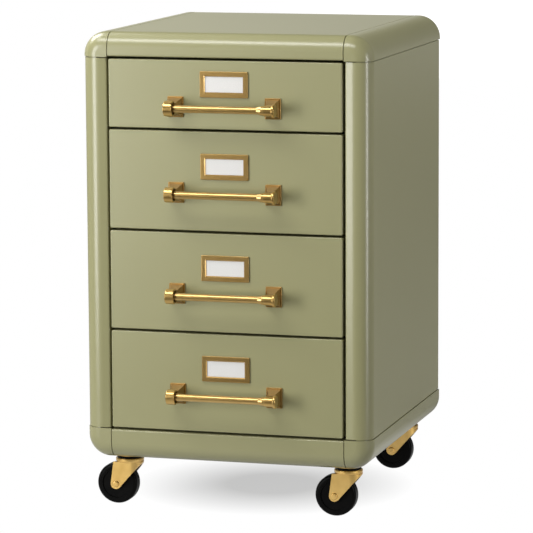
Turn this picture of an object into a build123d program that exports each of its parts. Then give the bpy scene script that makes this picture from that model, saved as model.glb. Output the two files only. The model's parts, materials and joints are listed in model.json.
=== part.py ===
from build123d import *
import os

# Rolling drawer cabinet, in millimetres. The origin is on the floor under the middle of the whole
# outline, +Z is up, the drawers face -Y, and +X is to the right of someone who stands before them.

# Case: outer sizes, the rails above and below the drawers, the rounding of its edges and the posts,
# whose inner edge lies a little behind the crest
CABINET_WIDTH = 381.0
CABINET_DEPTH = 376.0
TOP_RAIL = 32.0
BASE_RAIL = 40.0
SIDE_ROLL = 29.5
FRONT_ROLL = 20.0
POST_WIDTH = 34.0
POST_CREST = 11.0
POST_CREST_RADIUS = 18.0
POST_SAG = 2.4
OVERRUN = 20.0

# Case sheets: panels, the thicker end caps that lap behind them, and the flanges of the panels
CASE_SHEET = 1.6
CAP_WALL = 4.0
CAP_PROUD = 0.8
SEAM_GAP = 1.2
LAP = 8.0
LAP_CLEARANCE = 0.2
BEND_RADIUS = 2.2
OPENING_FLANGE = 22.0
REAR_FLANGE = 12.0

# Back panel and its screws
BACK_SHEET = 1.2
BACK_CLEARANCE = 0.3
BACK_SCREW_MARGIN = 4.5
BACK_SCREW_DIAMETER = 3.0
BACK_SCREW_LENGTH = 7.0
BACK_SCREW_HEAD = 6.0
BACK_SCREW_HEAD_HEIGHT = 1.8
BACK_SCREW_CLEARANCE = 0.2
SIDE_SCREW_END = 34.0
RAIL_SCREW_END = 45.0

# Drawers: formed fronts, the gaps round them and trays
SHALLOW_FRONT_HEIGHT = 87.0
DEEP_FRONT_HEIGHT = 126.5
DRAWER_GAP = 3.0
FRONT_DEPTH = 18.0
FRONT_SHEET = 1.5
FRONT_CORNER = 2.0
FRONT_EDGE = 1.4
TRAY_SHEET = 1.2
TRAY_REAR_SPACE = 24.4
TRAY_RAISE = 8.0
TRAY_HEADROOM = 20.0
TRAY_HEM = 6.0
TRAY_HEM_WIDTH = 2.4
ACCESS_HOLE = 13.0

# Telescopic slides and the uprights that carry them
SLIDE_WIDTH = 12.7
SLIDE_HEIGHT = 35.0
SLIDE_REAR_SPACE = 22.4
SLIDE_SHEET = 1.2
SLIDE_CLEARANCE = 0.3
SLIDE_TIP_GAP = 1.0
SLIDE_SETBACK = 2.0
SLIDE_RAISE = 27.0
UPRIGHT_WIDTH = 28.0
UPRIGHT_SHEET = 1.6
UPRIGHT_GAP = 1.0
UPRIGHT_SETBACK = 9.0

# Bar pulls: feet, posts, the left collar, the right barrel and the bar between them
PULL_CENTRES = 128.0
SHALLOW_PULL_DROP = 60.5
DEEP_PULL_DROP = 79.5
BAR_STANDOFF = 28.0
BAR_DIAMETER = 9.4
FOOT_WIDTH = 21.0
FOOT_HEIGHT = 26.5
FOOT_THICKNESS = 2.6
FOOT_CORNER = 1.2
FOOT_EDGE = 0.9
PYRAMID_WIDTH = 17.6
PYRAMID_HEIGHT = 23.0
PYRAMID_RISE = 11.0
NECK_WIDTH = 8.6
NECK_HEIGHT = 12.0
COLLAR_DIAMETER = 19.5
COLLAR_WIDTH = 11.5
COLLAR_EDGE = 0.9
COLLAR_RECESS_DIAMETER = 15.6
COLLAR_RECESS_DEPTH = 4.0
SHOULDER_DIAMETER = 11.4
SHOULDER_LENGTH = 2.0
BARREL_DIAMETER = 13.0
BARREL_INNER_REACH = 4.6
BARREL_OUTER_REACH = 6.6
BARREL_EDGE = 0.5
CAP_DISC_DIAMETER = 17.0
CAP_DISC_WIDTH = 4.0
CAP_DISC_EDGE = 1.4
TAPER_DIAMETER = 12.0
TAPER_LENGTH = 5.6
RING_LENGTH = 2.6
TENON_DIAMETER = 7.2
TENON_LENGTH = 6.0
TENON_CLEARANCE = 0.08
PULL_SCREW_DIAMETER = 4.0
PULL_SCREW_BITE = 8.0
PULL_SCREW_HEAD = 7.6
PULL_SCREW_HEAD_HEIGHT = 2.6
PULL_SCREW_CLEARANCE = 0.2

# Label holders
LABEL_WIDTH = 63.0
LABEL_HEIGHT = 33.0
LABEL_THICKNESS = 2.6
LABEL_CORNER = 1.0
LABEL_EDGE = 0.7
LABEL_BORDER = 6.6
LABEL_BEVEL = 1.3
SHALLOW_LABEL_DROP = 31.5
DEEP_LABEL_DROP = 45.8
CARD_MARGIN = 2.2
CARD_THICKNESS = 0.5
CARD_CLEARANCE = 0.2

# Casters
CASTER_HEIGHT = 69.0
CASTER_SIDE_INSET = 43.0
CASTER_FRONT_INSET = 52.0
CASTER_REAR_INSET = 22.0
TRAIL = 15.5
WHEEL_DIAMETER = 54.0
WHEEL_WIDTH = 19.0
WHEEL_SHOULDER = 4.5
WHEEL_FACE_DIAMETER = 39.0
WHEEL_FACE_DEPTH = 1.6
HUB_DIAMETER = 15.0
HUB_CLEARANCE = 0.2
AXLE_DIAMETER = 6.0
AXLE_CLEARANCE = 0.08
RIVET_DIAMETER = 8.6
RIVET_HEIGHT = 2.2
RIVET_EDGE = 1.9
FORK_SHEET = 2.6
FORK_GAP = 22.4
FORK_END = 14.0
CROWN_DIAMETER = 36.8
CROWN_HEIGHT = 5.2
CROWN_EDGE = 1.6
RACE_DIAMETER = 33.0
RACE_HEIGHT = 5.2
RACE_EDGE = 1.8
BEARING_DIAMETER = 26.0
BEARING_HEIGHT = 1.9
BEARING_CLEARANCE = 0.3
KINGPIN_DIAMETER = 10.0
KINGPIN_CLEARANCE = 0.08
KINGPIN_HEAD = 15.0
KINGPIN_HEAD_HEIGHT = 1.8
STEM_DIAMETER = 9.8
STEM_HOLE_CLEARANCE = 0.4
STEM_SPARE = 3.0
NUT_ACROSS_FLATS = 17.0
NUT_HEIGHT = 8.0
NUT_CLEARANCE = 0.1
NUT_RELIEF = 1.2

# Heights: the case stands on the casters, and the drawers hang below the top rail
drawer_names = ("top_drawer", "second_drawer", "third_drawer", "bottom_drawer")
front_heights = (SHALLOW_FRONT_HEIGHT, DEEP_FRONT_HEIGHT, DEEP_FRONT_HEIGHT, DEEP_FRONT_HEIGHT)
case_bottom = CASTER_HEIGHT
case_top = case_bottom + BASE_RAIL + sum(front_heights) + len(front_heights) * DRAWER_GAP + TOP_RAIL
case_height = case_top - case_bottom
case_middle = (case_top + case_bottom) / 2
top_seam = case_top - TOP_RAIL
base_seam = case_bottom + BASE_RAIL
side_middle = (top_seam + base_seam) / 2

# Depths: the pulls in front and the screw heads behind bound the whole outline
pull_reach = BAR_STANDOFF + COLLAR_DIAMETER / 2
whole_depth = pull_reach - CAP_PROUD + CABINET_DEPTH + BACK_SCREW_HEAD_HEIGHT
drawer_face = pull_reach - whole_depth / 2
case_front = drawer_face - CAP_PROUD
case_back = case_front + CABINET_DEPTH
front_rear = drawer_face + FRONT_DEPTH
back_panel_rear = case_back - CASE_SHEET
back_panel_front = back_panel_rear - BACK_SHEET
tray_back = back_panel_front - TRAY_REAR_SPACE
slide_front = front_rear + SLIDE_SETBACK
slide_back = back_panel_front - SLIDE_REAR_SPACE

# Widths: the opening between the posts, the seams of the end caps and the drawers
opening_half = CABINET_WIDTH / 2 - POST_WIDTH
seam_half = opening_half - DRAWER_GAP / 2
drawer_width = 2 * (opening_half - DRAWER_GAP)
side_outer = CABINET_WIDTH / 2 - CAP_PROUD
side_inner = side_outer - CASE_SHEET
tray_half = opening_half - SLIDE_WIDTH

# Casters, from the floor up
wheel_radius = WHEEL_DIAMETER / 2
race_bottom = case_bottom - RACE_HEIGHT
crown_top = race_bottom - BEARING_HEIGHT - BEARING_CLEARANCE
crown_bottom = crown_top - CROWN_HEIGHT
fork_outer = FORK_GAP / 2 + FORK_SHEET
crown_radius = CROWN_DIAMETER / 2
stem_hole = STEM_DIAMETER + 2 * STEM_HOLE_CLEARANCE
nut_bottom = case_bottom + CASE_SHEET
nut_corner = NUT_ACROSS_FLATS / 3**0.5
caster_x = CABINET_WIDTH / 2 - CASTER_SIDE_INSET
caster_front = case_front + CASTER_FRONT_INSET
caster_rear = case_back - CASTER_REAR_INSET
caster_places = {
    "front_left": (-caster_x, caster_front),
    "front_right": (caster_x, caster_front),
    "rear_left": (-caster_x, caster_rear),
    "rear_right": (caster_x, caster_rear),
}

# Screws of the back panel, as places on the rear face
back_half_width = CABINET_WIDTH / 2 - CAP_WALL - BACK_CLEARANCE
back_half_height = case_height / 2 - CAP_WALL - BACK_CLEARANCE
side_screw_x = back_half_width - BACK_SCREW_MARGIN
side_screw_step = top_seam - side_middle - SIDE_SCREW_END
rail_screw_x = seam_half - RAIL_SCREW_END
rail_screw_z = back_half_height - BACK_SCREW_MARGIN
back_screw_places = [
    (side * side_screw_x, side_middle + step * side_screw_step) for side in (-1, 1) for step in (-1, 0, 1)
]
back_screw_places += [
    (side * rail_screw_x, case_middle + end * rail_screw_z) for side in (-1, 1) for end in (-1, 1)
]


def facing(x, y, z):
    """A plane square to the drawer fronts, whose normal points at the viewer."""
    return Plane(origin=(x, y, z), x_dir=(1, 0, 0), z_dir=(0, -1, 0))


def across(x, y, z):
    """A plane square to the pull bars, whose normal points to the right."""
    return Plane(origin=(x, y, z), x_dir=(0, 1, 0), z_dir=(1, 0, 0))


def block(x_range, y_range, z_range):
    """A box between two limits on each axis, given in either order."""
    middle = [sum(limits) / 2 for limits in (x_range, y_range, z_range)]
    size = [max(limits) - min(limits) for limits in (x_range, y_range, z_range)]
    with BuildPart() as box:
        with Locations(tuple(middle)):
            Box(*size)
    return box.part


def case_form(inset, rear):
    """The rounded outer form of the case, set in all round, from its front to a rear plane."""
    start = case_front + inset
    with BuildPart() as form:
        with BuildSketch(facing(0, start, case_middle)):
            RectangleRounded(CABINET_WIDTH - 2 * inset, case_height - 2 * inset, SIDE_ROLL - inset)
        extrude(amount=start - rear)
        fillet(form.faces().sort_by(Axis.Y)[0].edges(), FRONT_ROLL - inset)
    return form.part


def case_layer(outer_inset, inner_inset, region):
    """The part of the case wall between two insets that lies within a region."""
    with BuildPart() as layer:
        add(case_form(outer_inset, case_back))
        add(case_form(inner_inset, case_back + OVERRUN), mode=Mode.SUBTRACT)
        add(region, mode=Mode.INTERSECT)
    return layer.part


def end_caps(seam, outward):
    """The right and left caps beyond a seam, with lips that lap behind the neighbouring panels."""
    far_x = CABINET_WIDTH / 2 + OVERRUN
    far_z = seam + outward * case_height
    front_y = case_front - OVERRUN
    lap_back = back_panel_front - BACK_CLEARANCE
    own_x = seam_half + SEAM_GAP / 2
    own_z = seam + outward * SEAM_GAP / 2
    flange_z = seam + outward * (DRAWER_GAP / 2 + CASE_SHEET + LAP_CLEARANCE)
    roll_x = CABINET_WIDTH / 2 - FRONT_ROLL
    own = block((own_x, far_x), (front_y, case_back + OVERRUN), (own_z, far_z))
    rail_lap = block((seam_half - LAP, own_x), (front_y, lap_back), (flange_z, far_z))
    side_lap = block((roll_x, far_x), (front_y, lap_back), (seam - outward * LAP, own_z))
    rail_inset = CASE_SHEET + LAP_CLEARANCE
    with BuildPart() as caps:
        add(case_layer(0, CAP_WALL, own))
        add(case_layer(rail_inset, CAP_WALL, rail_lap))
        add(case_layer(CAP_PROUD + rail_inset, CAP_WALL, side_lap))
        mirror(about=Plane.YZ)
        if outward < 0:
            with Locations(*[(x, y, case_bottom) for x, y in caster_places.values()]):
                Cylinder(nut_corner + NUT_RELIEF, 2 * CAP_WALL, mode=Mode.SUBTRACT)
    return caps.part


def rolled_panel(rim, outer):
    """A top or base panel: flange over the drawers, rolled front edge, flat sheet and rear flange."""
    inward = 1 if rim > outer else -1
    points = (
        (case_front + OPENING_FLANGE, rim),
        (case_front, rim),
        (case_front, outer),
        (case_back, outer),
        (case_back, outer + inward * REAR_FLANGE),
    )
    side = Side.LEFT if inward > 0 else Side.RIGHT
    with BuildPart() as panel:
        with BuildSketch(Plane.YZ):
            with BuildLine():
                FilletPolyline(*points, radius=(BEND_RADIUS, FRONT_ROLL, BEND_RADIUS))
                offset(amount=CASE_SHEET, side=side)
            make_face()
        extrude(amount=seam_half - SEAM_GAP / 2, both=True)
        rail_z = case_middle - inward * rail_screw_z
        with BuildSketch(facing(0, case_back - OVERRUN, rail_z)):
            with GridLocations(2 * rail_screw_x, 0, 2, 1):
                Circle(BACK_SCREW_DIAMETER / 2 + BACK_SCREW_CLEARANCE)
        extrude(amount=-2 * OVERRUN, mode=Mode.SUBTRACT)
    return panel.part


def base_panel_with_holes():
    """The base panel, with a hole for each caster stem."""
    with BuildPart() as panel:
        add(rolled_panel(base_seam - DRAWER_GAP / 2, case_bottom))
        with Locations(*[(x, y, case_bottom) for x, y in caster_places.values()]):
            Cylinder(stem_hole / 2, 2 * OVERRUN, mode=Mode.SUBTRACT)
    return panel.part


def right_side_panel():
    """A side panel and its rounded front post, bent from one sheet."""
    points = (
        (opening_half, drawer_face + OPENING_FLANGE),
        (opening_half, drawer_face + POST_SAG),
        (opening_half + POST_CREST, drawer_face),
        (side_outer, drawer_face),
        (side_outer, case_back),
        (side_outer - REAR_FLANGE, case_back),
    )
    radii = (BEND_RADIUS, POST_CREST_RADIUS, FRONT_ROLL - CAP_PROUD, BEND_RADIUS)
    low = base_seam + SEAM_GAP / 2
    high = top_seam - SEAM_GAP / 2
    with BuildPart() as panel:
        with BuildSketch(Plane.XY.offset(low)):
            with BuildLine():
                FilletPolyline(*points, radius=radii)
                offset(amount=CASE_SHEET, side=Side.LEFT)
            make_face()
        extrude(amount=high - low)
        with BuildSketch(facing(side_screw_x, case_back - OVERRUN, side_middle)):
            with GridLocations(0, side_screw_step, 1, 3):
                Circle(BACK_SCREW_DIAMETER / 2 + BACK_SCREW_CLEARANCE)
        extrude(amount=-2 * OVERRUN, mode=Mode.SUBTRACT)
    return panel.part


def mirrored(piece):
    """The left-hand twin of a right-hand piece."""
    with BuildPart() as twin:
        mirror(piece, about=Plane.YZ)
    return twin.part


def back_panel():
    """The sheet that closes the rear, behind the flanges of the panels."""
    with BuildPart() as panel:
        with BuildSketch(facing(0, back_panel_front, case_middle)):
            corner = SIDE_ROLL - CAP_WALL - BACK_CLEARANCE
            RectangleRounded(2 * back_half_width, 2 * back_half_height, corner)
        extrude(amount=-BACK_SHEET)
        with BuildSketch(facing(0, back_panel_front, 0)):
            with Locations(*back_screw_places):
                Circle(BACK_SCREW_DIAMETER / 2 + BACK_SCREW_CLEARANCE)
        extrude(amount=-BACK_SHEET, mode=Mode.SUBTRACT)
    return panel.part


def back_screws():
    """Button-head screws through the rear flanges into the back panel."""
    with BuildPart() as screws:
        with BuildSketch(facing(0, case_back, 0)):
            with Locations(*back_screw_places):
                Circle(BACK_SCREW_HEAD / 2)
        extrude(amount=-BACK_SCREW_HEAD_HEIGHT)
        fillet(screws.faces().group_by(Axis.Y)[-1].edges(), BACK_SCREW_HEAD_HEIGHT / 2)
        with BuildSketch(facing(0, case_back, 0)):
            with Locations(*back_screw_places):
                Circle(BACK_SCREW_DIAMETER / 2)
        extrude(amount=BACK_SCREW_LENGTH)
    return screws.part


def slide_uprights():
    """Four channels behind the posts and near the rear, welded to the side panels."""
    low = base_seam + LAP + LAP_CLEARANCE
    high = top_seam - LAP - LAP_CLEARANCE
    front_start = drawer_face + max(OPENING_FLANGE, FRONT_ROLL) + UPRIGHT_GAP
    rear_start = back_panel_front - UPRIGHT_SETBACK - UPRIGHT_WIDTH
    with BuildPart() as uprights:
        for start in (front_start, rear_start):
            end = start + UPRIGHT_WIDTH
            add(block((opening_half, side_inner), (start, end), (low, high)))
            channel_x = (opening_half + UPRIGHT_SHEET, side_inner)
            channel_y = (start + UPRIGHT_SHEET, end - UPRIGHT_SHEET)
            add(block(channel_x, channel_y, (low, high)), mode=Mode.SUBTRACT)
        mirror(about=Plane.YZ)
    return uprights.part


def rail_pair(centre_z, web_x, tip_x, half_height):
    """A right and a left slide rail: a channel with its web at web_x and its lips towards tip_x."""
    inward = 1 if tip_x > web_x else -1
    channel_x = (web_x + inward * SLIDE_SHEET, tip_x)
    channel_half = half_height - SLIDE_SHEET
    length = (slide_front, slide_back)
    with BuildPart() as rails:
        add(block((web_x, tip_x), length, (centre_z - half_height, centre_z + half_height)))
        channel_z = (centre_z - channel_half, centre_z + channel_half)
        add(block(channel_x, length, channel_z), mode=Mode.SUBTRACT)
        mirror(about=Plane.YZ)
    return rails.part


def fixed_rails(centre_z):
    """The outer rails, on the uprights."""
    return rail_pair(centre_z, opening_half, tray_half + SLIDE_TIP_GAP, SLIDE_HEIGHT / 2)


def middle_rails(centre_z):
    """The rails that run inside the outer ones."""
    web_x = opening_half - SLIDE_SHEET - SLIDE_CLEARANCE
    half_height = SLIDE_HEIGHT / 2 - SLIDE_SHEET - SLIDE_CLEARANCE
    return rail_pair(centre_z, web_x, tray_half + SLIDE_TIP_GAP, half_height)


def drawer_rails(centre_z):
    """The inner rails, on the sides of a tray."""
    tip_x = opening_half - 2 * (SLIDE_SHEET + SLIDE_CLEARANCE) - SLIDE_TIP_GAP
    half_height = SLIDE_HEIGHT / 2 - 2 * (SLIDE_SHEET + SLIDE_CLEARANCE)
    return rail_pair(centre_z, tray_half, tip_x, half_height)


def drawer_front(low, high, pull_z):
    """A formed front: a face sheet with its four edges turned back."""
    middle = (low + high) / 2
    height = high - low
    with BuildPart() as front:
        with BuildSketch(facing(0, drawer_face, middle)):
            RectangleRounded(drawer_width, height, FRONT_CORNER)
        extrude(amount=-FRONT_DEPTH)
        fillet(front.faces().sort_by(Axis.Y)[0].edges(), FRONT_EDGE)
        with BuildSketch(facing(0, drawer_face + FRONT_SHEET, middle)):
            Rectangle(drawer_width - 2 * FRONT_SHEET, height - 2 * FRONT_SHEET)
        extrude(amount=-FRONT_DEPTH, mode=Mode.SUBTRACT)
        with BuildSketch(facing(0, drawer_face, pull_z)):
            with GridLocations(PULL_CENTRES, 0, 2, 1):
                Circle(PULL_SCREW_DIAMETER / 2 + PULL_SCREW_CLEARANCE)
        extrude(amount=-FRONT_SHEET, mode=Mode.SUBTRACT)
    return front.part


def drawer_tray(low, high, pull_z):
    """An open tray with hemmed edges, whose front wall closes the back of the formed front."""
    floor = low + TRAY_RAISE
    rim = high - TRAY_HEADROOM
    wall_front = front_rear - TRAY_SHEET
    inner_half = tray_half - TRAY_SHEET
    hem_half = tray_half - TRAY_HEM_WIDTH
    cover_half = drawer_width / 2 - FRONT_SHEET
    with BuildPart() as tray:
        add(block((-tray_half, tray_half), (wall_front, tray_back), (floor, rim)))
        inside_y = (front_rear, tray_back - TRAY_SHEET)
        add(block((-inner_half, inner_half), inside_y, (floor + TRAY_SHEET, rim)), mode=Mode.SUBTRACT)
        add(block((-tray_half, tray_half), (wall_front, tray_back), (rim - TRAY_HEM, rim)))
        hem_y = (front_rear, tray_back - TRAY_HEM_WIDTH)
        add(block((-hem_half, hem_half), hem_y, (rim - TRAY_HEM, rim)), mode=Mode.SUBTRACT)
        cover_z = (low + FRONT_SHEET, high - FRONT_SHEET)
        add(block((-cover_half, cover_half), (wall_front, front_rear), cover_z))
        with BuildSketch(facing(0, wall_front, pull_z)):
            with GridLocations(PULL_CENTRES, 0, 2, 1):
                Circle(ACCESS_HOLE / 2)
        extrude(amount=-TRAY_SHEET, mode=Mode.SUBTRACT)
    return tray.part


def pull_post(x, z):
    """The foot, pyramid and neck of a post, up to the middle of the bar, with its screw hole."""
    with BuildPart() as post:
        with BuildSketch(facing(x, drawer_face, z)):
            RectangleRounded(FOOT_WIDTH, FOOT_HEIGHT, FOOT_CORNER)
        extrude(amount=FOOT_THICKNESS)
        fillet(post.faces().sort_by(Axis.Y)[0].edges(), FOOT_EDGE)
        with BuildSketch(facing(x, drawer_face - FOOT_THICKNESS, z)):
            Rectangle(PYRAMID_WIDTH, PYRAMID_HEIGHT)
        with BuildSketch(facing(x, drawer_face - FOOT_THICKNESS - PYRAMID_RISE, z)):
            Rectangle(NECK_WIDTH, NECK_HEIGHT)
        loft()
        with BuildSketch(facing(x, drawer_face - FOOT_THICKNESS - PYRAMID_RISE, z)):
            Rectangle(NECK_WIDTH, NECK_HEIGHT)
        extrude(amount=BAR_STANDOFF - FOOT_THICKNESS - PYRAMID_RISE)
        with BuildSketch(facing(x, drawer_face, z)):
            Circle(PULL_SCREW_DIAMETER / 2 + PULL_SCREW_CLEARANCE)
        extrude(amount=PULL_SCREW_BITE + PULL_SCREW_CLEARANCE, mode=Mode.SUBTRACT)
    return post.part


def pull_posts(z):
    """The left post with its recessed collar and the right post with its barrel and end disc."""
    bar_y = drawer_face - BAR_STANDOFF
    left_x = -PULL_CENTRES / 2
    right_x = PULL_CENTRES / 2
    bore = TENON_DIAMETER / 2 + TENON_CLEARANCE
    collar_face = left_x + COLLAR_WIDTH / 2
    barrel_face = right_x - BARREL_INNER_REACH
    disc_start = right_x + BARREL_OUTER_REACH
    with BuildPart() as collar:
        with BuildSketch(across(collar_face, bar_y, z)):
            Circle(COLLAR_DIAMETER / 2)
        extrude(amount=-COLLAR_WIDTH)
        fillet(collar.edges().filter_by(GeomType.CIRCLE), COLLAR_EDGE)
    with BuildPart() as barrel:
        with BuildSketch(across(barrel_face, bar_y, z)):
            Circle(BARREL_DIAMETER / 2)
        extrude(amount=disc_start - barrel_face)
        fillet(barrel.edges().filter_by(GeomType.CIRCLE).sort_by(Axis.X)[0], BARREL_EDGE)
    with BuildPart() as disc:
        with BuildSketch(across(disc_start, bar_y, z)):
            Circle(CAP_DISC_DIAMETER / 2)
        extrude(amount=CAP_DISC_WIDTH)
        fillet(disc.edges().filter_by(GeomType.CIRCLE), CAP_DISC_EDGE)
    with BuildPart() as posts:
        add(pull_post(left_x, z))
        add(collar.part)
        with BuildSketch(across(collar_face, bar_y, z)):
            Circle(COLLAR_RECESS_DIAMETER / 2)
        extrude(amount=-COLLAR_RECESS_DEPTH, mode=Mode.SUBTRACT)
        with BuildSketch(across(collar_face - COLLAR_RECESS_DEPTH, bar_y, z)):
            Circle(bore)
        extrude(amount=-TENON_LENGTH, mode=Mode.SUBTRACT)
        add(pull_post(right_x, z))
        add(barrel.part)
        add(disc.part)
        with BuildSketch(across(barrel_face, bar_y, z)):
            Circle(bore)
        extrude(amount=TENON_LENGTH, mode=Mode.SUBTRACT)
    return posts.part


def pull_bar(z):
    """The turned bar: a tenon and shoulder on the left, a taper, ring and tenon on the right."""
    bar_y = drawer_face - BAR_STANDOFF
    recess_floor = -PULL_CENTRES / 2 + COLLAR_WIDTH / 2 - COLLAR_RECESS_DEPTH
    barrel_face = PULL_CENTRES / 2 - BARREL_INNER_REACH
    tenon_reach = TENON_LENGTH - TENON_CLEARANCE
    tenon = TENON_DIAMETER / 2
    points = (
        (recess_floor - tenon_reach, 0),
        (recess_floor - tenon_reach, tenon),
        (recess_floor, tenon),
        (recess_floor, SHOULDER_DIAMETER / 2),
        (recess_floor + SHOULDER_LENGTH, SHOULDER_DIAMETER / 2),
        (recess_floor + SHOULDER_LENGTH, BAR_DIAMETER / 2),
        (barrel_face - RING_LENGTH - TAPER_LENGTH, BAR_DIAMETER / 2),
        (barrel_face - RING_LENGTH, TAPER_DIAMETER / 2),
        (barrel_face, TAPER_DIAMETER / 2),
        (barrel_face, tenon),
        (barrel_face + tenon_reach, tenon),
        (barrel_face + tenon_reach, 0),
    )
    with BuildPart() as bar:
        with BuildSketch(facing(0, bar_y, z)):
            with BuildLine():
                Polyline(*points, close=True)
            make_face()
        revolve(axis=Axis((0, bar_y, z), (1, 0, 0)))
    return bar.part


def pull_screws(z):
    """Two screws from behind the face sheet into the posts."""
    with BuildPart() as screws:
        with BuildSketch(facing(0, drawer_face + FRONT_SHEET, z)):
            with GridLocations(PULL_CENTRES, 0, 2, 1):
                Circle(PULL_SCREW_HEAD / 2)
        extrude(amount=-PULL_SCREW_HEAD_HEIGHT)
        fillet(screws.faces().group_by(Axis.Y)[-1].edges(), PULL_SCREW_HEAD_HEIGHT / 2)
        with BuildSketch(facing(0, drawer_face + FRONT_SHEET, z)):
            with GridLocations(PULL_CENTRES, 0, 2, 1):
                Circle(PULL_SCREW_DIAMETER / 2)
        extrude(amount=FRONT_SHEET + PULL_SCREW_BITE)
    return screws.part


def label_frame(z):
    """A frame with a bevelled window and a shallow pocket for the card behind it."""
    window_width = LABEL_WIDTH - 2 * LABEL_BORDER
    window_height = LABEL_HEIGHT - 2 * LABEL_BORDER
    pocket = CARD_THICKNESS + CARD_CLEARANCE
    front_y = drawer_face - LABEL_THICKNESS
    with BuildPart() as label:
        with BuildSketch(facing(0, drawer_face, z)):
            RectangleRounded(LABEL_WIDTH, LABEL_HEIGHT, LABEL_CORNER)
        extrude(amount=LABEL_THICKNESS)
        fillet(label.faces().sort_by(Axis.Y)[0].edges(), LABEL_EDGE)
        with BuildSketch(facing(0, drawer_face, z)):
            Rectangle(window_width, window_height)
        extrude(amount=LABEL_THICKNESS, mode=Mode.SUBTRACT)
        with BuildSketch(facing(0, front_y, z)):
            Rectangle(window_width + 2 * LABEL_BEVEL, window_height + 2 * LABEL_BEVEL)
        with BuildSketch(facing(0, front_y + LABEL_BEVEL, z)):
            Rectangle(window_width, window_height)
        loft(mode=Mode.SUBTRACT)
        with BuildSketch(facing(0, drawer_face, z)):
            Rectangle(window_width + 2 * CARD_MARGIN, window_height + 2 * CARD_MARGIN)
        extrude(amount=pocket, mode=Mode.SUBTRACT)
    return label.part


def label_card(z):
    """A blank card in the pocket of a label frame."""
    spare = CARD_MARGIN - CARD_CLEARANCE
    width = LABEL_WIDTH - 2 * LABEL_BORDER + 2 * spare
    height = LABEL_HEIGHT - 2 * LABEL_BORDER + 2 * spare
    with BuildPart() as card:
        with BuildSketch(facing(0, drawer_face, z)):
            Rectangle(width, height)
        extrude(amount=CARD_THICKNESS)
    return card.part


def caster_stems():
    """Race, kingpin and threaded stem of each caster, turned in one piece."""
    pin_head_top = crown_bottom - BEARING_CLEARANCE
    stem_top = nut_bottom + NUT_HEIGHT + STEM_SPARE
    bearing_bottom = race_bottom - BEARING_HEIGHT
    points = (
        (0, stem_top),
        (STEM_DIAMETER / 2, stem_top),
        (STEM_DIAMETER / 2, case_bottom),
        (RACE_DIAMETER / 2, case_bottom),
        (RACE_DIAMETER / 2, race_bottom),
        (BEARING_DIAMETER / 2, race_bottom),
        (BEARING_DIAMETER / 2, bearing_bottom),
        (KINGPIN_DIAMETER / 2, bearing_bottom),
        (KINGPIN_DIAMETER / 2, pin_head_top),
        (KINGPIN_HEAD / 2, pin_head_top),
        (KINGPIN_HEAD / 2, pin_head_top - KINGPIN_HEAD_HEIGHT),
        (0, pin_head_top - KINGPIN_HEAD_HEIGHT),
    )
    with BuildPart() as stems:
        for x, y in caster_places.values():
            with BuildSketch(facing(x, y, 0)) as turned:
                with BuildLine():
                    Polyline(*points, close=True)
                make_face()
                rim = turned.vertices().group_by(Axis.X)[-1]
                fillet(rim, RACE_EDGE)
            revolve(axis=Axis((x, y, 0), (0, 0, 1)))
    return stems.part


def caster_nuts():
    """Hexagon nuts on the stems, inside the base panel."""
    with BuildPart() as nuts:
        with BuildSketch(Plane.XY.offset(nut_bottom)):
            with Locations(*caster_places.values()):
                RegularPolygon(NUT_ACROSS_FLATS / 2, 6, major_radius=False)
                Circle(STEM_DIAMETER / 2 + NUT_CLEARANCE, mode=Mode.SUBTRACT)
        extrude(amount=NUT_HEIGHT)
    return nuts.part


def caster_fork(x, y):
    """A crown over a bent horn, whose two legs hold the axle behind the swivel."""
    axle_x = x - TRAIL
    leg_low = wheel_radius - FORK_END / 2
    bend_x = x + crown_radius - fork_outer
    leg_reach = bend_x - axle_x + FORK_END
    with BuildPart() as horn:
        with BuildSketch(Plane(origin=(bend_x, y, leg_low))):
            Circle(fork_outer)
            Rectangle(leg_reach, 2 * fork_outer, align=(Align.MAX, Align.CENTER))
            Circle(FORK_GAP / 2, mode=Mode.SUBTRACT)
            Rectangle(leg_reach, FORK_GAP, align=(Align.MAX, Align.CENTER), mode=Mode.SUBTRACT)
        extrude(amount=crown_bottom - leg_low)
        with BuildSketch(facing(axle_x, y, wheel_radius)):
            Circle(FORK_END / 2)
            with Locations((TRAIL, crown_bottom - wheel_radius)):
                Rectangle(CROWN_DIAMETER, FORK_SHEET)
            make_hull()
        extrude(amount=2 * fork_outer, both=True, mode=Mode.INTERSECT)
    with BuildPart() as crown:
        with BuildSketch(Plane(origin=(x, y, crown_bottom))):
            Circle(crown_radius)
        extrude(amount=CROWN_HEIGHT)
        fillet(crown.edges().filter_by(GeomType.CIRCLE), CROWN_EDGE)
    with BuildPart() as fork:
        add(horn.part)
        add(crown.part)
        with BuildSketch(Plane(origin=(x, y, crown_bottom))):
            Circle(KINGPIN_DIAMETER / 2 + KINGPIN_CLEARANCE)
        extrude(amount=CROWN_HEIGHT, mode=Mode.SUBTRACT)
        with BuildSketch(facing(axle_x, y, wheel_radius)):
            Circle(AXLE_DIAMETER / 2 + AXLE_CLEARANCE)
        extrude(amount=2 * fork_outer, both=True, mode=Mode.SUBTRACT)
    return fork.part


def caster_axle(x, y):
    """A rivet through the legs and the wheel, with a button head on each side."""
    axle_x = x - TRAIL
    with BuildPart() as axle:
        for side in (-1, 1):
            with BuildSketch(facing(axle_x, y + side * fork_outer, wheel_radius)):
                Circle(RIVET_DIAMETER / 2)
            extrude(amount=-side * RIVET_HEIGHT)
        fillet(axle.faces().sort_by(Axis.Y)[0].edges(), RIVET_EDGE)
        fillet(axle.faces().sort_by(Axis.Y)[-1].edges(), RIVET_EDGE)
        with BuildSketch(facing(axle_x, y, wheel_radius)):
            Circle(AXLE_DIAMETER / 2)
        extrude(amount=fork_outer, both=True)
    return axle.part


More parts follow.
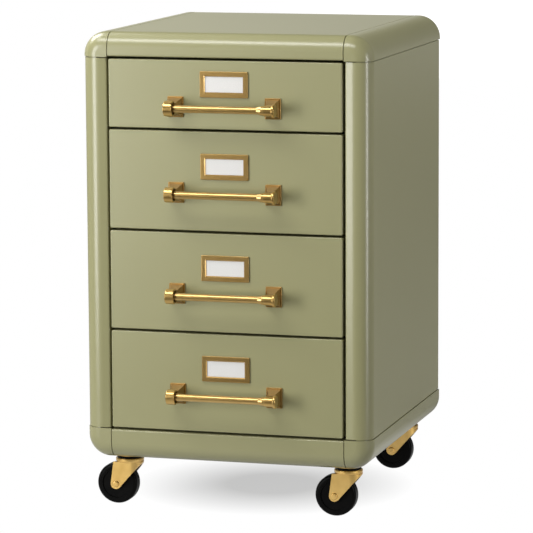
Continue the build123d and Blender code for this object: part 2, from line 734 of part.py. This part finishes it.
def caster_wheel(x, y):
    """A solid wheel with rounded shoulders, a shallow dished face and a hub on each side."""
    axle_x = x - TRAIL
    bore = AXLE_DIAMETER / 2 + AXLE_CLEARANCE
    hub_half = FORK_GAP / 2 - HUB_CLEARANCE
    face_half = WHEEL_WIDTH / 2 - WHEEL_FACE_DEPTH
    half_points = (
        (bore, hub_half),
        (HUB_DIAMETER / 2, hub_half),
        (HUB_DIAMETER / 2, face_half),
        (WHEEL_FACE_DIAMETER / 2, face_half),
        (WHEEL_FACE_DIAMETER / 2, WHEEL_WIDTH / 2),
        (wheel_radius, WHEEL_WIDTH / 2),
    )
    points = half_points + tuple((radius, -half) for radius, half in reversed(half_points))
    with BuildPart() as wheel:
        with BuildSketch(Plane(origin=(axle_x, y, wheel_radius), x_dir=(1, 0, 0), z_dir=(0, 0, 1))) as turned:
            with BuildLine():
                Polyline(*points, close=True)
            make_face()
            fillet(turned.vertices().group_by(Axis.X)[-1], WHEEL_SHOULDER)
        revolve(axis=Axis((axle_x, y, wheel_radius), (0, 1, 0)))
    return wheel.part


def save(piece, label):
    """Names a finished piece and writes it."""
    piece.label = label
    export_step(piece, f"parts/{label}.step")


os.makedirs("parts", exist_ok=True)

side_panel = right_side_panel()
save(rolled_panel(top_seam + DRAWER_GAP / 2, case_top), "top_panel")
save(end_caps(top_seam, 1), "top_end_caps")
save(side_panel, "right_side_panel")
save(mirrored(side_panel), "left_side_panel")
save(base_panel_with_holes(), "base_panel")
save(end_caps(base_seam, -1), "base_end_caps")
save(back_panel(), "back_panel")
save(back_screws(), "back_screws")
save(slide_uprights(), "slide_uprights")

seam = top_seam
slide_heights = []
for name, height in zip(drawer_names, front_heights):
    shallow = name == drawer_names[0]
    pull_z = seam - (SHALLOW_PULL_DROP if shallow else DEEP_PULL_DROP)
    label_z = seam - (SHALLOW_LABEL_DROP if shallow else DEEP_LABEL_DROP)
    high = seam - DRAWER_GAP / 2
    low = high - height
    slide_z = low + TRAY_RAISE + SLIDE_RAISE
    slide_heights.append(slide_z)
    save(drawer_front(low, high, pull_z), f"{name}_front")
    save(drawer_tray(low, high, pull_z), f"{name}_tray")
    save(drawer_rails(slide_z), f"{name}_rails")
    save(middle_rails(slide_z), f"{name}_middle_rails")
    save(pull_bar(pull_z), f"{name}_pull_bar")
    save(pull_posts(pull_z), f"{name}_pull_posts")
    save(pull_screws(pull_z), f"{name}_pull_screws")
    save(label_frame(label_z), f"{name}_label_frame")
    save(label_card(label_z), f"{name}_label_card")
    seam = low - DRAWER_GAP / 2

with BuildPart() as fixed_slide_rails:
    for slide_z in slide_heights:
        add(fixed_rails(slide_z))
save(fixed_slide_rails.part, "fixed_slide_rails")

save(caster_stems(), "caster_stems")
save(caster_nuts(), "caster_nuts")
for name, (x, y) in caster_places.items():
    save(caster_fork(x, y), f"{name}_caster_fork")
    save(caster_axle(x, y), f"{name}_caster_axle")
    save(caster_wheel(x, y), f"{name}_caster_wheel")
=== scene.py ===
import json
import math

import bpy
from mathutils import Matrix, Vector


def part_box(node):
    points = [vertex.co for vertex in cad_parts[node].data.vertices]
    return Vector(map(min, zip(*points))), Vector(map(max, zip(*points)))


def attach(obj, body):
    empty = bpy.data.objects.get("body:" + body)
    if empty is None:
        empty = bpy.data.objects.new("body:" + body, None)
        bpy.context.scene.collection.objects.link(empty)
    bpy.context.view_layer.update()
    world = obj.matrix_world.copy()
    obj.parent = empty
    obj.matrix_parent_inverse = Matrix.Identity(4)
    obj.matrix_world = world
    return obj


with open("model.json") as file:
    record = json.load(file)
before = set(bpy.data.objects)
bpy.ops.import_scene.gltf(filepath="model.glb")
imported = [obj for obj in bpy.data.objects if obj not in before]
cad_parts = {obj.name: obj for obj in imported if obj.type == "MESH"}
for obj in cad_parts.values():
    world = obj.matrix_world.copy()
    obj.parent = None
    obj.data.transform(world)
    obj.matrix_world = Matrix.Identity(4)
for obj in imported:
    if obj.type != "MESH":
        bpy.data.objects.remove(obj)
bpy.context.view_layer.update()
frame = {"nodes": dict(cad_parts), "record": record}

# The looks of a rolling drawer cabinet, in metres: sage green satin paint, brass fittings, black wheels,
# zinc plated slides, a white studio and a camera at the photograph's viewing angle

# Camera, fitted to the seams and edges of the photograph
SENSOR_WIDTH_MM = 36.0
LENS_MM = 218.69
CAMERA_PLACE = Vector((1.18323, -4.05005, 0.92842))
CAMERA_YAW = math.radians(16.2213)
CAMERA_PITCH = math.radians(8.4637)
CAMERA_ROLL = math.radians(-0.3011)

# Colours, linear
SAGE = (0.300, 0.289, 0.147, 1.0)
SAGE_SHADE = (0.286, 0.276, 0.139, 1.0)
BRASS = (0.66, 0.425, 0.130, 1.0)
BRASS_TARNISH = (0.59, 0.375, 0.107, 1.0)
# Painted shade and dark reflection on the pull posts, in brown
BRASS_PAINTED_SHADE = (0.38, 0.23, 0.068, 1.0)
# Caster brass: lighter than the other brass, painted light for the brighter light on the caster forks
SATIN_BRASS_PAINTED_LIGHT = (0.95, 0.64, 0.20, 1.0)
SATIN_BRASS_PAINTED_LIGHT_DULL = (0.83, 0.53, 0.145, 1.0)
AGED_BRASS = (0.56, 0.36, 0.115, 1.0)
AGED_BRASS_DARK = (0.49, 0.31, 0.090, 1.0)
ZINC = (0.58, 0.59, 0.60, 1.0)
ZINC_DULL = (0.42, 0.43, 0.45, 1.0)
RUBBER = (0.0025, 0.0025, 0.0024, 1.0)
RUBBER_DUSTY = (0.0045, 0.0042, 0.0038, 1.0)
# Painted shade: the near-black of the rings in the pull collars, varied at random
PAINTED_SHADE_BLACK = (0.012, 0.008, 0.004, 1.0)
PAINTED_SHADE_BLACK_VARIED = (0.030, 0.019, 0.008, 1.0)
CARD = (0.69, 0.685, 0.67, 1.0)
CARD_FIBRE = (0.645, 0.64, 0.62, 1.0)
FLOOR = (0.31, 0.31, 0.31, 1.0)
WHITE = (1.0, 1.0, 1.0, 1.0)

# Surface finish: the smoothest and the roughest of each material, and how strongly it mirrors
PAINT_ROUGHNESS = (0.27, 0.30)
PAINT_SPECULAR = 0.8
BRASS_ROUGHNESS = (0.32, 0.34)
POST_ROUGHNESS = (0.28, 0.31)
SATIN_BRASS_ROUGHNESS = (0.44, 0.50)
AGED_BRASS_ROUGHNESS = (0.33, 0.36)
LACQUER_WEIGHT = 1.0
POST_LACQUER_WEIGHT = 0.5
LACQUER_ROUGHNESS = 0.22
ZINC_ROUGHNESS = (0.28, 0.48)
WHEEL_ROUGHNESS = (0.28, 0.40)
WHEEL_SPECULAR = 0.07
PAINTED_SHADE_ROUGHNESS = (0.55, 0.70)
PAINTED_SHADE_SPECULAR = 0.2
CARD_ROUGHNESS = 0.75

# Stretches of a noise's values: all of it, the middle where most values lie, and the upper part
WHOLE = (0.0, 1.0)
MIDDLE = (0.3, 0.7)
UPPER = (0.45, 0.75)

# Painted shade and dark reflection on the pull posts, in brown: where it comes in behind the bar and where
# it goes at the rim of the foot, both along Y from the drawer's face, and the share that stays on the rim
PAINTED_SHADE_START = (-0.021, -0.012)
PAINTED_SHADE_END = (-0.0026, -0.0014)
RIM_PAINTED_SHADE = 0.3

# Trim: the seals on the crowns of the casters, and painted shade: near-black rings in the left collars of
# the pulls
RING_STEPS = 64
SEAL_INNER = 0.0131
SEAL_OUTER = 0.0164
SEAL_LOW = 0.06165
SEAL_HEIGHT = 0.0021
SHADE_RING_INNER = 0.00575
SHADE_RING_OUTER = 0.00775
SHADE_RING_DEPTH = 0.0019
TENON_REACH = 0.00597

# World: the least and the most light from all round and the side with the most, then the dark and the pale
# of what surfaces mirror and the way to the pale
WORLD_LIGHT = (0.22, 3.9)
WORLD_LIGHT_RANGE = (0.3, 1.0)
WORLD_BRIGHT_SIDE = (0.76, 0.65, -0.5)
WORLD_MIRRORED = (0.05, 0.61)
WORLD_PALE_SIDE = (-1.0, 1.0, -1.5)
WORLD_PALE_RANGE = (0.68, 1.0)

# Floor: its corners, its own white in the shadow, the middle of the shadow and the ends of its fade, and
# the share of its white that surfaces mirror near the cabinet, with the ends of that fade
FLOOR_LOW = (-6.0, -0.6)
FLOOR_HIGH = (6.0, 6.0)
FLOOR_GLOW = 0.53
SHADOW_CENTRE = (0.0, 0.04, 0.0)
SHADOW_FADE = (0.06, 0.19)
MIRRORED_FLOOR = 0.6
MIRRORED_FLOOR_FADE = (0.25, 0.5)

# Lamps: the place, the point that it faces, the width and height, and the power in watts, then the lamp
# that shows only in mirrored views and the one that shows in none of them
LAMPS = {
    "left_strip": ((-1.01, -1.41, 0.5), (0.0, 0.0, 0.5), (0.5, 1.0), 11.0),
    "right_strip": ((1.62, -0.56, 0.5), (0.17, -0.17, 0.5), (0.18, 1.0), 7.0),
    "top_box": ((-0.44, -1.1, 1.83), (0.0, -0.17, 0.6), (1.6, 0.45), 19.0),
    "upper_left": ((-1.2, 0.3, 1.75), (0.0, 0.1, 0.6), (1.0, 1.0), 26.5),
    "front_fill": ((-1.6, -2.85, 0.65), (0.0, 0.0, 0.15), (1.8, 1.2), 39.0),
}
MIRRORED_ONLY_LAMP = "right_strip"
UNMIRRORED_LAMP = "front_fill"


def new_material(name):
    """A material with only a Principled shader and an output, as (material, tree, shader)."""
    material = bpy.data.materials.new(name)
    material.use_nodes = True
    tree = material.node_tree
    tree.nodes.clear()
    output = tree.nodes.new("ShaderNodeOutputMaterial")
    shader = tree.nodes.new("ShaderNodeBsdfPrincipled")
    tree.links.new(shader.outputs["BSDF"], output.inputs["Surface"])
    return material, tree, shader


def noise(tree, scale, detail=2.0, stretch=(1.0, 1.0, 1.0)):
    """Noise in the piece's own frame, with so many features to the metre, drawn out by stretch."""
    place = tree.nodes.new("ShaderNodeTexCoord")
    mapping = tree.nodes.new("ShaderNodeMapping")
    mapping.inputs["Scale"].default_value = stretch
    texture = tree.nodes.new("ShaderNodeTexNoise")
    texture.inputs["Scale"].default_value = scale
    texture.inputs["Detail"].default_value = detail
    tree.links.new(place.outputs["Object"], mapping.inputs["Vector"])
    tree.links.new(mapping.outputs["Vector"], texture.inputs["Vector"])
    return texture.outputs["Fac"]


def spread(tree, value, result, stretch=MIDDLE):
    """A stretch of a value, spread over the range of the result."""
    node = tree.nodes.new("ShaderNodeMapRange")
    node.inputs["From Min"].default_value, node.inputs["From Max"].default_value = stretch
    node.inputs["To Min"].default_value, node.inputs["To Max"].default_value = result
    tree.links.new(value, node.inputs["Value"])
    return node.outputs["Result"]


def combine(tree, operation, first, second):
    """Two values brought together by an operation of a Math node."""
    node = tree.nodes.new("ShaderNodeMath")
    node.operation = operation
    tree.links.new(first, node.inputs[0])
    tree.links.new(second, node.inputs[1])
    return node.outputs["Value"]


def blend_colours(tree, share, first, second):
    """A colour that goes from the first to the second as share goes from 0 to 1."""
    node = tree.nodes.new("ShaderNodeMix")
    node.data_type = "RGBA"
    colours = [socket for socket in node.inputs if socket.type == "RGBA"]
    colours[0].default_value = first
    colours[1].default_value = second
    tree.links.new(share, node.inputs["Factor"])
    return next(socket for socket in node.outputs if socket.type == "RGBA")


def add_bump(tree, shader, height, strength, distance):
    """Fine relief from a height value."""
    node = tree.nodes.new("ShaderNodeBump")
    node.inputs["Strength"].default_value = strength
    node.inputs["Distance"].default_value = distance
    tree.links.new(height, node.inputs["Height"])
    tree.links.new(node.outputs["Normal"], shader.inputs["Normal"])


def paint_material():
    """Satin paint: faint cloudiness and a fine orange peel."""
    material, tree, shader = new_material("satin_sage_paint")
    cloud = noise(tree, scale=9.0, detail=4.0)
    peel = noise(tree, scale=900.0, detail=1.5)
    colour = blend_colours(tree, spread(tree, cloud, WHOLE, WHOLE), SAGE, SAGE_SHADE)
    tree.links.new(colour, shader.inputs["Base Color"])
    tree.links.new(spread(tree, peel, PAINT_ROUGHNESS, WHOLE), shader.inputs["Roughness"])
    shader.inputs["Specular IOR Level"].default_value = PAINT_SPECULAR
    add_bump(tree, shader, peel, strength=0.03, distance=0.0002)
    return material


def brass_material(name, bright, dull, roughness):
    """Lacquered brass with a light, uneven tarnish."""
    material, tree, shader = new_material(name)
    tarnish = noise(tree, scale=60.0, detail=2.0)
    colour = blend_colours(tree, spread(tree, tarnish, WHOLE), bright, dull)
    tree.links.new(colour, shader.inputs["Base Color"])
    tree.links.new(spread(tree, tarnish, roughness), shader.inputs["Roughness"])
    shader.inputs["Metallic"].default_value = 1.0
    shader.inputs["Coat Weight"].default_value = LACQUER_WEIGHT
    shader.inputs["Coat Roughness"].default_value = LACQUER_ROUGHNESS
    return material


def post_painted_shade_material():
    """Lacquered brass with painted shade and dark reflection, in brown, between the rim of the foot and the
    bar.
    """
    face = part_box("top_drawer_pull_posts")[1].y
    material, tree, shader = new_material("brass_with_painted_shade")
    tarnish = noise(tree, scale=60.0, detail=2.0)
    place = tree.nodes.new("ShaderNodeTexCoord")
    axes = tree.nodes.new("ShaderNodeSeparateXYZ")
    tree.links.new(place.outputs["Object"], axes.inputs["Vector"])
    behind_bar = [face + distance for distance in PAINTED_SHADE_START]
    before_rim = [face + distance for distance in PAINTED_SHADE_END]
    off_bar = spread(tree, axes.outputs["Y"], WHOLE, behind_bar)
    off_rim = spread(tree, axes.outputs["Y"], (1.0, RIM_PAINTED_SHADE), before_rim)
    # painted shade: the brown share behind the bar, with less of it on the rim of the foot
    painted_shade_share = combine(tree, "MULTIPLY", off_bar, off_rim)
    colour = blend_colours(tree, painted_shade_share, BRASS, BRASS_PAINTED_SHADE)
    tree.links.new(colour, shader.inputs["Base Color"])
    tree.links.new(spread(tree, tarnish, POST_ROUGHNESS), shader.inputs["Roughness"])
    shader.inputs["Metallic"].default_value = 1.0
    shader.inputs["Coat Weight"].default_value = POST_LACQUER_WEIGHT
    shader.inputs["Coat Roughness"].default_value = LACQUER_ROUGHNESS
    return material


def zinc_material():
    """Zinc plated steel with rolling marks along the slides."""
    material, tree, shader = new_material("zinc_plated_steel")
    spangle = noise(tree, scale=45.0, detail=3.0)
    rolled = noise(tree, scale=120.0, detail=2.0, stretch=(8.0, 0.15, 8.0))
    colour = blend_colours(tree, spread(tree, spangle, WHOLE), ZINC, ZINC_DULL)
    tree.links.new(colour, shader.inputs["Base Color"])
    tree.links.new(spread(tree, rolled, ZINC_ROUGHNESS), shader.inputs["Roughness"])
    shader.inputs["Metallic"].default_value = 1.0
    return material


def wheel_material():
    """Hard black rubber with a slight sheen and a trace of dust."""
    material, tree, shader = new_material("black_wheel")
    dust = noise(tree, scale=60.0, detail=5.0)
    colour = blend_colours(tree, spread(tree, dust, WHOLE, UPPER), RUBBER, RUBBER_DUSTY)
    tree.links.new(colour, shader.inputs["Base Color"])
    tree.links.new(spread(tree, dust, WHEEL_ROUGHNESS), shader.inputs["Roughness"])
    shader.inputs["Specular IOR Level"].default_value = WHEEL_SPECULAR
    return material


def card_material():
    """White card with paper fibres."""
    material, tree, shader = new_material("white_card")
    fibre = noise(tree, scale=900.0, detail=4.0)
    colour = blend_colours(tree, spread(tree, fibre, WHOLE), CARD, CARD_FIBRE)
    tree.links.new(colour, shader.inputs["Base Color"])
    shader.inputs["Roughness"].default_value = CARD_ROUGHNESS
    add_bump(tree, shader, fibre, strength=0.1, distance=0.0001)
    return material


def painted_shade_ring_material():
    """Painted shade: dull and nearly black, for rings put where there is only shade."""
    material, tree, shader = new_material("near_black_painted_shade")
    shade_variation = noise(tree, scale=700.0, detail=3.0)
    colour = blend_colours(tree, spread(tree, shade_variation, WHOLE), PAINTED_SHADE_BLACK, PAINTED_SHADE_BLACK_VARIED)
    tree.links.new(colour, shader.inputs["Base Color"])
    tree.links.new(spread(tree, shade_variation, PAINTED_SHADE_ROUGHNESS), shader.inputs["Roughness"])
    shader.inputs["Specular IOR Level"].default_value = PAINTED_SHADE_SPECULAR
    return material


def dress_nodes():
    """Gives every piece its slot's material, but painted shade to the posts and lighter brass, painted
    light, to the casters.
    """
    by_slot = {
        "case_paint": paint_material(),
        "polished_brass": brass_material("polished_brass", BRASS, BRASS_TARNISH, BRASS_ROUGHNESS),
        "aged_brass": brass_material("aged_brass", AGED_BRASS, AGED_BRASS_DARK, AGED_BRASS_ROUGHNESS),
        "zinc_steel": zinc_material(),
        "wheel_black": wheel_material(),
        "card": card_material(),
    }
    posts_brass = post_painted_shade_material()
    # the casters' brass: its satin roughness is the real finish, its lighter colour is painted light
    satin_brass_painted_light = brass_material("satin_brass_painted_light", SATIN_BRASS_PAINTED_LIGHT, SATIN_BRASS_PAINTED_LIGHT_DULL, SATIN_BRASS_ROUGHNESS)
    for subpart in frame["record"]["subparts"]:
        node = subpart["node"]
        slot = subpart["material_slot"]
        material = by_slot[slot]
        if node.endswith("_pull_posts"):
            material = posts_brass
        elif slot == "polished_brass" and "caster" in node:
            material = satin_brass_painted_light
        piece = frame["nodes"][node]
        piece.data.materials.clear()
        piece.data.materials.append(material)
    return by_slot


def turned_ring(name, place, turn, inner, outer, height):
    """A ring of rectangular section that rises from its place along the turned Z axis."""
    profile = [(inner, 0.0), (outer, 0.0), (outer, height), (inner, height)]
    count = len(profile)
    points = []
    faces = []
    for step in range(RING_STEPS):
        angle = math.tau * step / RING_STEPS
        for radius, rise in profile:
            point = Vector((radius * math.cos(angle), radius * math.sin(angle), rise))
            points.append(place + turn @ point)
        near = step * count
        far = (step + 1) % RING_STEPS * count
        for corner in range(count):
            following = (corner + 1) % count
            faces.append((near + corner, far + corner, far + following, near + following))
    mesh = bpy.data.meshes.new(name)
    mesh.from_pydata(points, [], faces)
    ring = bpy.data.objects.new(name, mesh)
    bpy.context.scene.collection.objects.link(ring)
    return ring


def add_seals(material):
    """A black seal in the gap between the race and the crown of each caster."""
    upright = Matrix.Identity(3)
    for joint in frame["record"]["behaviour"]["joints"]:
        if joint["name"].endswith("_swivel"):
            x, y, _ = joint["pos_m"]
            place = Vector((x, y, SEAL_LOW))
            name = joint["name"] + "_seal"
            seal = turned_ring(name, place, upright, SEAL_INNER, SEAL_OUTER, SEAL_HEIGHT)
            seal.data.materials.append(material)
            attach(seal, "cabinet")


def add_painted_shade_rings(material):
    """Painted shade: a near-black ring round the bar in the open left collar of each pull, where there is
    only shade.
    """
    along_bar = Matrix.Rotation(math.pi / 2, 3, "Y")
    for subpart in frame["record"]["subparts"]:
        node = subpart["node"]
        if node.endswith("_pull_bar"):
            low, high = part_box(node)
            place = (low + high) / 2
            place.x = low.x + TENON_REACH
            drawer = node[: -len("_pull_bar")]
            name = drawer + "_bushing"
            painted_shade_ring = turned_ring(name, place, along_bar, SHADE_RING_INNER, SHADE_RING_OUTER, SHADE_RING_DEPTH)
            painted_shade_ring.data.materials.append(material)
            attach(painted_shade_ring, drawer)


def directly_seen(tree, path):
    """1 for rays from the camera and rays through glass, and 0 for others."""
    return combine(tree, "MAXIMUM", path.outputs["Is Camera Ray"], path.outputs["Is Transmission Ray"])


def floor_material():
    """A pale floor: shadow under the object, white to the camera further out, mirrored only nearby."""
    material = bpy.data.materials.new("studio_floor")
    material.use_nodes = True
    tree = material.node_tree
    tree.nodes.clear()
    output = tree.nodes.new("ShaderNodeOutputMaterial")
    diffuse = tree.nodes.new("ShaderNodeBsdfDiffuse")
    diffuse.inputs["Color"].default_value = FLOOR
    glow = tree.nodes.new("ShaderNodeEmission")
    glow.inputs["Color"].default_value = WHITE
    mix = tree.nodes.new("ShaderNodeMixShader")
    place = tree.nodes.new("ShaderNodeTexCoord")
    away = tree.nodes.new("ShaderNodeVectorMath")
    away.operation = "DISTANCE"
    away.inputs[1].default_value = SHADOW_CENTRE
    tree.links.new(place.outputs["Object"], away.inputs[0])
    path = tree.nodes.new("ShaderNodeLightPath")
    white = spread(tree, away.outputs["Value"], (FLOOR_GLOW, 1.0), SHADOW_FADE)
    near = spread(tree, away.outputs["Value"], (MIRRORED_FLOOR, 0.0), MIRRORED_FLOOR_FADE)
    mirrored = combine(tree, "MULTIPLY", near, path.outputs["Is Glossy Ray"])
    seen = combine(tree, "MAXIMUM", directly_seen(tree, path), mirrored)
    tree.links.new(combine(tree, "MULTIPLY", white, seen), mix.inputs["Fac"])
    tree.links.new(diffuse.outputs["BSDF"], mix.inputs[1])
    tree.links.new(glow.outputs["Emission"], mix.inputs[2])
    tree.links.new(mix.outputs["Shader"], output.inputs["Surface"])
    return material


def build_floor():
    """A large plain floor under the wheels."""
    left, front = FLOOR_LOW
    right, back = FLOOR_HIGH
    corners = [(left, front, 0.0), (right, front, 0.0), (right, back, 0.0), (left, back, 0.0)]
    mesh = bpy.data.meshes.new("studio_floor")
    mesh.from_pydata(corners, [], [(0, 1, 2, 3)])
    floor = bpy.data.objects.new("studio_floor", mesh)
    mesh.materials.append(floor_material())
    bpy.context.scene.collection.objects.link(floor)


def towards(tree, side):
    """How far each direction from the middle of the world points to a side."""
    place = tree.nodes.new("ShaderNodeTexCoord")
    node = tree.nodes.new("ShaderNodeVectorMath")
    node.operation = "DOT_PRODUCT"
    node.inputs[1].default_value = side
    tree.links.new(place.outputs["Generated"], node.inputs[0])
    return node.outputs["Value"]


def build_world():
    """White to the camera, with most light from the right, and mirrored as dark with a pale part behind."""
    world = bpy.data.worlds.new("studio")
    bpy.context.scene.world = world
    world.use_nodes = True
    tree = world.node_tree
    tree.nodes.clear()
    output = tree.nodes.new("ShaderNodeOutputWorld")
    background = tree.nodes.new("ShaderNodeBackground")
    background.inputs["Color"].default_value = WHITE
    path = tree.nodes.new("ShaderNodeLightPath")
    light = spread(tree, towards(tree, WORLD_BRIGHT_SIDE), WORLD_LIGHT, WORLD_LIGHT_RANGE)
    mirrored = spread(tree, towards(tree, WORLD_PALE_SIDE), WORLD_MIRRORED, WORLD_PALE_RANGE)
    chosen = tree.nodes.new("ShaderNodeMix")
    tree.links.new(light, chosen.inputs["A"])
    tree.links.new(mirrored, chosen.inputs["B"])
    tree.links.new(path.outputs["Is Glossy Ray"], chosen.inputs["Factor"])
    strength = combine(tree, "MAXIMUM", chosen.outputs["Result"], directly_seen(tree, path))
    tree.links.new(strength, background.inputs["Strength"])
    tree.links.new(background.outputs["Background"], output.inputs["Surface"])


def softbox(name, place, aim, size, power):
    """A rectangular area lamp at a place, turned to a point."""
    data = bpy.data.lights.new(name, "AREA")
    data.shape = "RECTANGLE"
    data.size, data.size_y = size
    data.energy = power
    lamp = bpy.data.objects.new(name, data)
    lamp.location = place
    lamp.rotation_euler = (Vector(aim) - Vector(place)).to_track_quat("-Z", "Y").to_euler()
    bpy.context.scene.collection.objects.link(lamp)
    return lamp


def build_lamps():
    """Strips beside both posts, a box before the top roll, one up on the left and a fill from the front."""
    for name, (place, aim, size, power) in LAMPS.items():
        lamp = softbox(name, place, aim, size, power)
        lamp.visible_diffuse = name != MIRRORED_ONLY_LAMP
        lamp.visible_glossy = name != UNMIRRORED_LAMP


def build_camera():
    """A camera without shift, at the place and turn of the photograph's."""
    data = bpy.data.cameras.new("photo_view")
    data.sensor_width = SENSOR_WIDTH_MM
    data.lens = LENS_MM
    camera = bpy.data.objects.new("photo_view", data)
    forward = Vector((
        -math.sin(CAMERA_YAW) * math.cos(CAMERA_PITCH),
        math.cos(CAMERA_YAW) * math.cos(CAMERA_PITCH),
        -math.sin(CAMERA_PITCH),
    ))
    level = Vector((math.cos(CAMERA_YAW), math.sin(CAMERA_YAW), 0.0))
    upright = level.cross(forward)
    right = math.cos(CAMERA_ROLL) * level + math.sin(CAMERA_ROLL) * upright
    up = math.cos(CAMERA_ROLL) * upright - math.sin(CAMERA_ROLL) * level
    turn = Matrix((right, up, -forward)).transposed().to_4x4()
    camera.matrix_world = Matrix.Translation(CAMERA_PLACE) @ turn
    bpy.context.scene.collection.objects.link(camera)
    bpy.context.scene.camera = camera


by_slot = dress_nodes()
add_seals(by_slot["wheel_black"])
add_painted_shade_rings(painted_shade_ring_material())
build_floor()
build_world()
build_lamps()
build_camera()
bpy.context.scene.view_settings.view_transform = "Standard"
